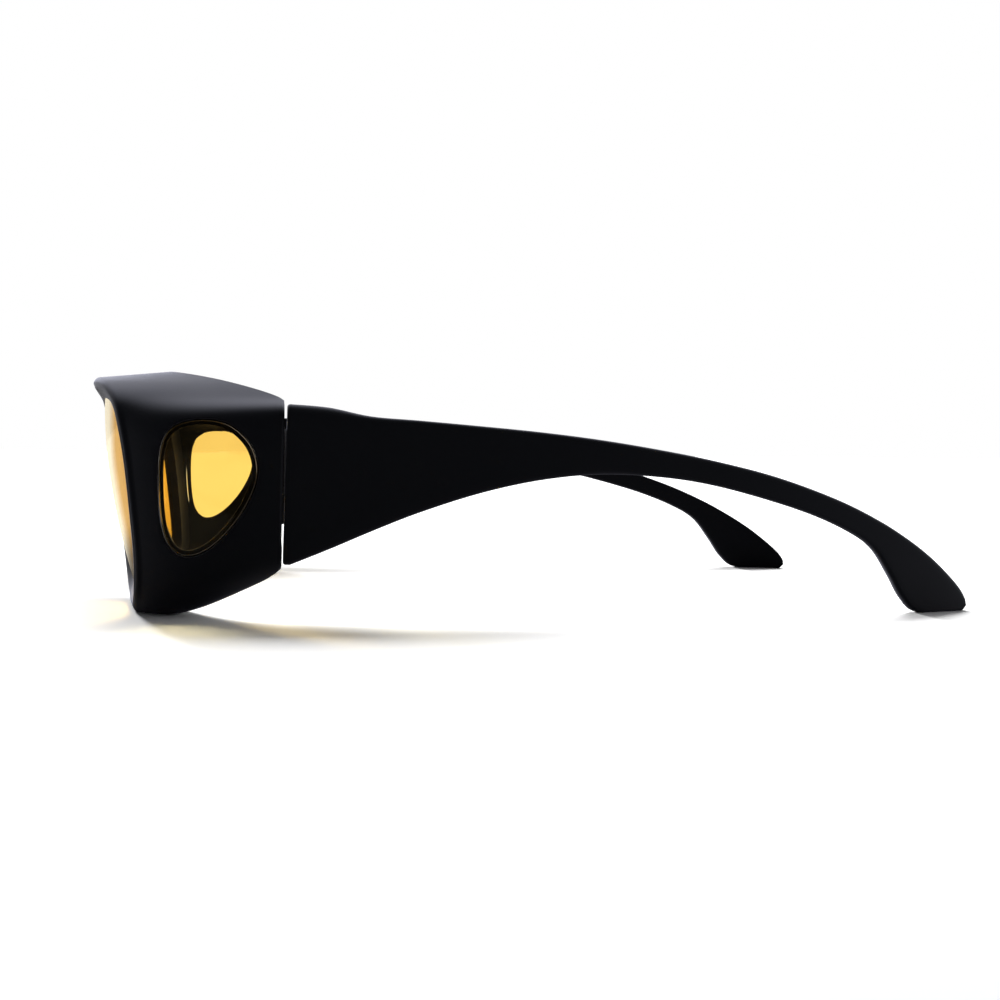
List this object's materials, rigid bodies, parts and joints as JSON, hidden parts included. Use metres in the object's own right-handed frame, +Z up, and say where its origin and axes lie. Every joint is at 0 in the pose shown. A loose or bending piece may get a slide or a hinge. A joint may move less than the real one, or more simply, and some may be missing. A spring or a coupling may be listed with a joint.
{
  "type": "goggles",
  "caption": "Fit-over goggles that block blue light: black wraparound front with amber front lenses and side windows, and wide bowed temples that fold on metal hinges.",
  "frame": {"origin": "middle of the part's width and length, on the table it stands on with the temples open", "axes": "+X to the wearer's left, +Y rearwards along the temples, -Y the way the wearer looks, +Z up"},
  "size_m": [0.146, 0.1626, 0.0428],
  "materials": {
    "black_plastic": "satin",
    "amber_lens": "polished",
    "hinge_steel": "satin"
  },
  "bodies": {
    "front": {"front_frame": "black_plastic", "front_lens_left": "amber_lens", "front_lens_right": "amber_lens", "side_lens_left": "amber_lens", "side_lens_right": "amber_lens", "hinge_front_leaf_left": "hinge_steel", "hinge_front_leaf_right": "hinge_steel", "hinge_screw_left": "hinge_steel", "hinge_screw_right": "hinge_steel"},
    "temple_left": {"temple_left": "black_plastic", "hinge_temple_leaf_left": "hinge_steel"},
    "temple_right": {"temple_right": "black_plastic", "hinge_temple_leaf_right": "hinge_steel"}
  },
  "joints": [
    {"name": "fold_left", "type": "hinge", "parent": "front", "child": "temple_left", "pos_m": [0.06825, -0.04487, 0.0265], "axis": [0, 0, 1], "range_deg": [0, 90]},
    {"name": "fold_right", "type": "hinge", "parent": "front", "child": "temple_right", "pos_m": [-0.06825, -0.04487, 0.0265], "axis": [0, 0, -1], "range_deg": [0, 79]}
  ]
}
